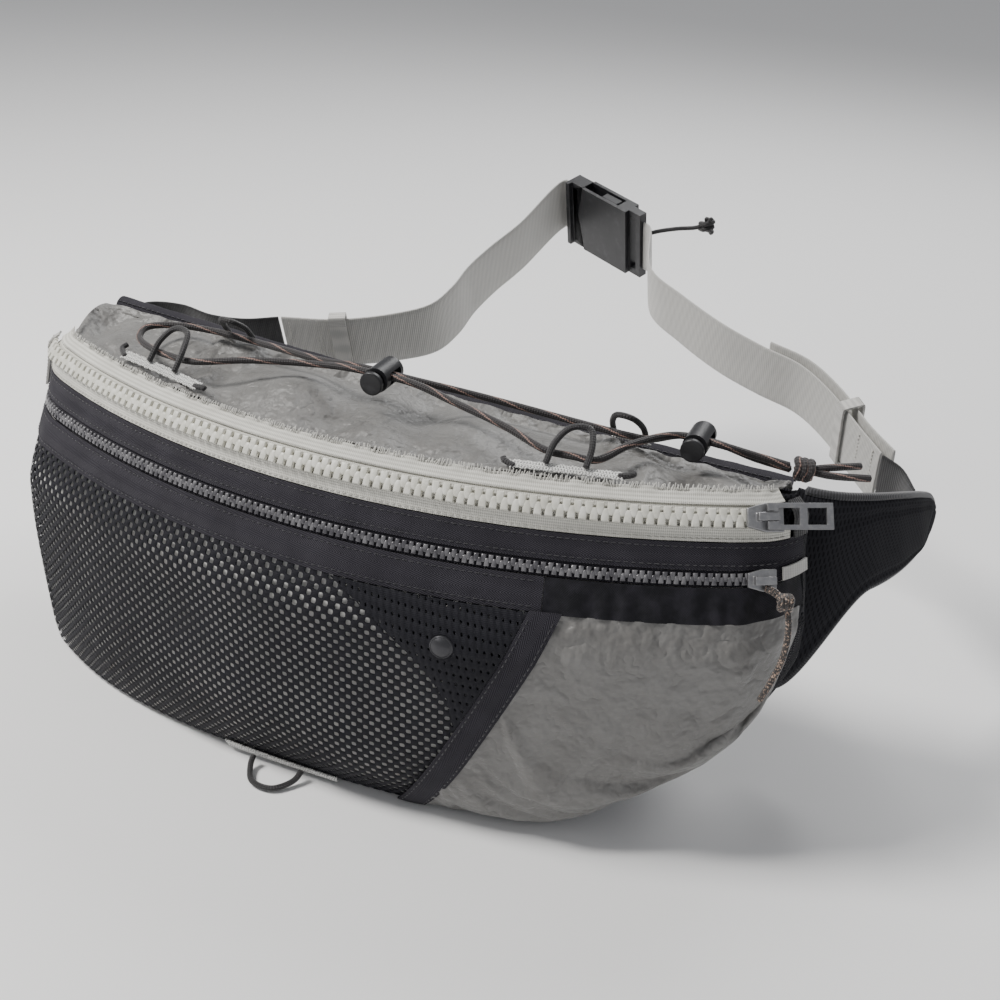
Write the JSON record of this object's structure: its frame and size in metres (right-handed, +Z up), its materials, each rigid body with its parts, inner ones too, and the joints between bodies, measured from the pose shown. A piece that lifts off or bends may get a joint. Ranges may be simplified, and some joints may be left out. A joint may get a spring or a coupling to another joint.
{
  "type": "waist pack",
  "caption": "Curved waist pack with a zipped main compartment, zipped front pocket, mesh pocket, corded top and webbing belt with a side-release buckle.",
  "frame": {"origin": "middle of the flat base that the pack stands on", "axes": "+X to the right seen from the front, +Y towards the wearer and the belt loop, +Z up"},
  "size_m": [0.445, 0.3759, 0.1888],
  "materials": {
    "grey_nylon": "crinkled coated nylon",
    "dark_tape": "herringbone tape",
    "black_mesh": "knitted mesh",
    "lining": "plain lining",
    "padding": "spacer mesh over foam",
    "off_white_tape": "woven zip tape",
    "off_white_teeth": "moulded acetal",
    "dark_teeth": "nylon coil",
    "webbing_grey": "woven webbing",
    "webbing_black": "woven webbing",
    "cord_black": "braided cord",
    "bartack": "dense zigzag stitching",
    "black_plastic": "moulded",
    "gunmetal": "die cast, dark plated",
    "snap_metal": "black plated"
  },
  "bodies": {
    "pack": {"base_panel": "padding", "back_panel": "padding", "divider_panel": "lining", "front_panel": "lining", "mesh_pocket": "black_mesh", "mesh_overlap": "black_mesh", "grey_pocket": "grey_nylon", "side_mesh": "black_mesh", "diagonal_tape": "dark_tape", "lower_tape": "dark_tape", "gathered_band": "webbing_black", "upper_tape": "dark_tape", "snap_cap": "snap_metal", "main_zip_chain": "off_white_teeth", "front_zip_chain": "dark_teeth", "main_zip_lower_tape": "off_white_tape", "main_zip_upper_tape": "off_white_tape", "top_panel": "grey_nylon", "left_wing": "padding", "right_wing": "padding", "left_gusset": "black_mesh", "right_gusset": "black_mesh", "left_anchor_webbing": "webbing_black", "left_strap": "webbing_grey", "right_strap": "webbing_grey", "right_anchor_webbing": "webbing_black", "right_strap_tail": "webbing_grey", "buckle_socket": "black_plastic", "strip_front_left": "bartack", "strip_front_right": "bartack", "strip_rear_left": "bartack", "strip_rear_right": "bartack", "loop_front_left": "cord_black", "loop_front_right": "cord_black", "loop_rear_left": "cord_black", "loop_rear_right": "cord_black", "rear_binding": "dark_tape", "main_zip_end_tab": "webbing_black", "front_zip_end_tab": "webbing_grey", "left_end_tab": "webbing_grey", "buckle_cord": "cord_black", "buckle_cord_knot": "cord_black", "strip_base": "bartack", "loop_base": "cord_black", "shock_cord": "cord_black", "shock_cord_knot": "cord_black"},
    "plug": {"buckle_plug": "black_plastic"},
    "arm_high": {"plug_arm_high": "black_plastic"},
    "arm_low": {"plug_arm_low": "black_plastic"},
    "main_slider_body": {"main_slider": "gunmetal"},
    "main_puller_body": {"main_puller": "gunmetal"},
    "front_slider_body": {"front_slider": "gunmetal"},
    "front_pull": {"front_puller_cord": "cord_black", "front_puller_knot": "cord_black"},
    "centre_lock": {"centre_lock_barrel": "black_plastic"},
    "centre_plunger": {"centre_lock_plunger": "black_plastic"},
    "end_lock": {"end_lock_barrel": "black_plastic"},
    "end_plunger": {"end_lock_plunger": "black_plastic"},
    "left_keeper_body": {"left_keeper": "webbing_grey"},
    "right_keeper_body": {"right_keeper": "webbing_grey"}
  },
  "joints": [
    {"name": "buckle_release", "type": "slide", "parent": "pack", "child": "plug", "axis": [-0.8879, 0.436, 0.1469], "range_m": [0, 0.034], "deforming": ["left_strap"]},
    {"name": "arm_high_squeeze", "type": "hinge", "parent": "plug", "child": "arm_high", "pos_m": [-0.0078, 0.28842, 0.17873], "axis": [0.4601, 0.8414, 0.2835], "range_deg": [0, 7], "stiffness_Nm_per_rad": 0.2},
    {"name": "arm_low_squeeze", "type": "hinge", "parent": "plug", "child": "arm_low", "pos_m": [-0.0078, 0.2971, 0.15295], "axis": [-0.4601, -0.8414, -0.2835], "range_deg": [0, 7], "stiffness_Nm_per_rad": 0.2},
    {"name": "main_zip_run", "type": "hinge", "parent": "pack", "child": "main_slider_body", "pos_m": [0, 0.3076, 0.146], "axis": [0, 0, 1], "range_deg": [-54, 0]},
    {"name": "main_puller_swing", "type": "hinge", "parent": "main_slider_body", "child": "main_puller_body", "pos_m": [0.16476, -0.0025, 0.15046], "axis": [0.2746, -0.5187, -0.8096], "range_deg": [0, 150]},
    {"name": "front_zip_run", "type": "hinge", "parent": "pack", "child": "front_slider_body", "pos_m": [0, 0.3076, 0.1242], "axis": [0, 0, 1], "range_deg": [-54, 0]},
    {"name": "front_pull_swing", "type": "hinge", "parent": "front_slider_body", "child": "front_pull", "pos_m": [0.16889, -0.0101, 0.12393], "axis": [-0.8838, -0.4679, 0], "range_deg": [0, 50]},
    {"name": "centre_lock_run", "type": "slide", "parent": "pack", "child": "centre_lock", "axis": [1, 0, 0], "range_m": [-0.012, 0.012], "deforming": ["shock_cord"]},
    {"name": "centre_lock_press", "type": "slide", "parent": "centre_lock", "child": "centre_plunger", "axis": [0, 1, 0], "range_m": [0, 0.002], "stiffness_N_per_m": 400, "springref_m": -0.001},
    {"name": "end_lock_run", "type": "slide", "parent": "pack", "child": "end_lock", "axis": [1, 0, 0], "range_m": [-0.008, 0.016], "deforming": ["shock_cord"]},
    {"name": "end_lock_press", "type": "slide", "parent": "end_lock", "child": "end_plunger", "axis": [0, 1, 0], "range_m": [0, 0.002], "stiffness_N_per_m": 400, "springref_m": -0.001},
    {"name": "left_keeper_run", "type": "slide", "parent": "pack", "child": "left_keeper_body", "axis": [0.94, 0.3234, 0.109], "range_m": [-0.012, 0.01]},
    {"name": "right_keeper_run", "type": "slide", "parent": "pack", "child": "right_keeper_body", "axis": [0.6228, -0.7414, -0.2499], "range_m": [-0.004, 0.004]}
  ]
}
